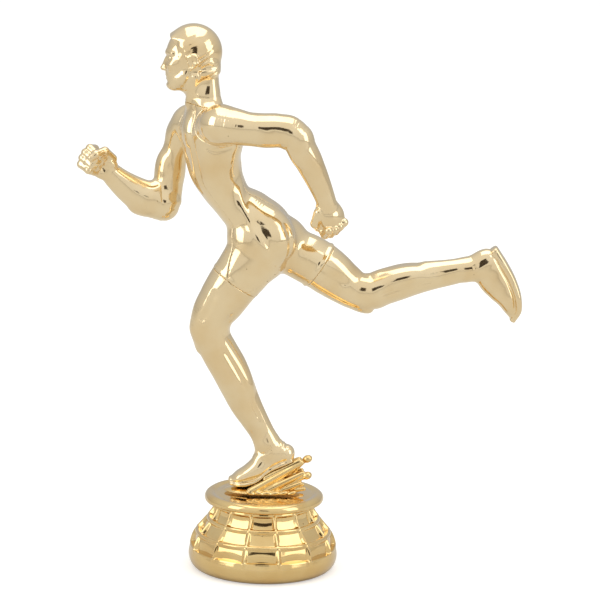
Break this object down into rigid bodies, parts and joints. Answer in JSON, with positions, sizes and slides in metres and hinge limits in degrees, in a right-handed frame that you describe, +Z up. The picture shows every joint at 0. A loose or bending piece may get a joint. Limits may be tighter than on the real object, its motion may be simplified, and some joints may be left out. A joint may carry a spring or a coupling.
{
  "type": "figure trophy",
  "caption": "Plated plastic runner figure with glued limbs, standing on a disc that a stud and nut clamp to a hollow waffle-sided round riser.",
  "frame": {"origin": "centre of the riser's underside in the plane that the trophy stands on, at the lower end of the clamping stud", "axes": "+Z up along the riser and the stud; the runner faces -X and the runner's left side is -Y"},
  "size_m": [0.113, 0.038, 0.1395],
  "materials": {
    "riser_gold": "vacuum-metallised pale gold, lacquered, moulded waffle relief",
    "disc_gold": "vacuum-metallised pale gold, lacquered, polished",
    "ground_gold": "vacuum-metallised pale gold, lacquered, rough modelled ground",
    "figure_gold": "vacuum-metallised pale gold, lacquered, polished with fine pits and rubs",
    "zinc_steel": "bright zinc-plated steel"
  },
  "bodies": {
    "pedestal": {"pedestal_skirt": "riser_gold", "clamp_washer": "zinc_steel"},
    "figure": {"plinth_disc": "disc_gold", "ground_tuft": "ground_gold", "torso_left_shell": "figure_gold", "torso_right_shell": "figure_gold", "head": "figure_gold", "left_arm": "figure_gold", "right_arm": "figure_gold", "left_leg": "figure_gold", "right_leg": "figure_gold", "figure_stud": "zinc_steel"},
    "nut": {"clamp_nut": "zinc_steel"}
  },
  "joints": [
    {"name": "figure_turn", "type": "hinge", "parent": "pedestal", "child": "figure", "pos_m": [0, 0, 0.0155], "axis": [0, 0, 1], "continuous": true},
    {"name": "nut_turn", "type": "hinge", "parent": "figure", "child": "nut", "pos_m": [0, 0, 0.0083], "axis": [0, 0, 1], "continuous": true}
  ]
}
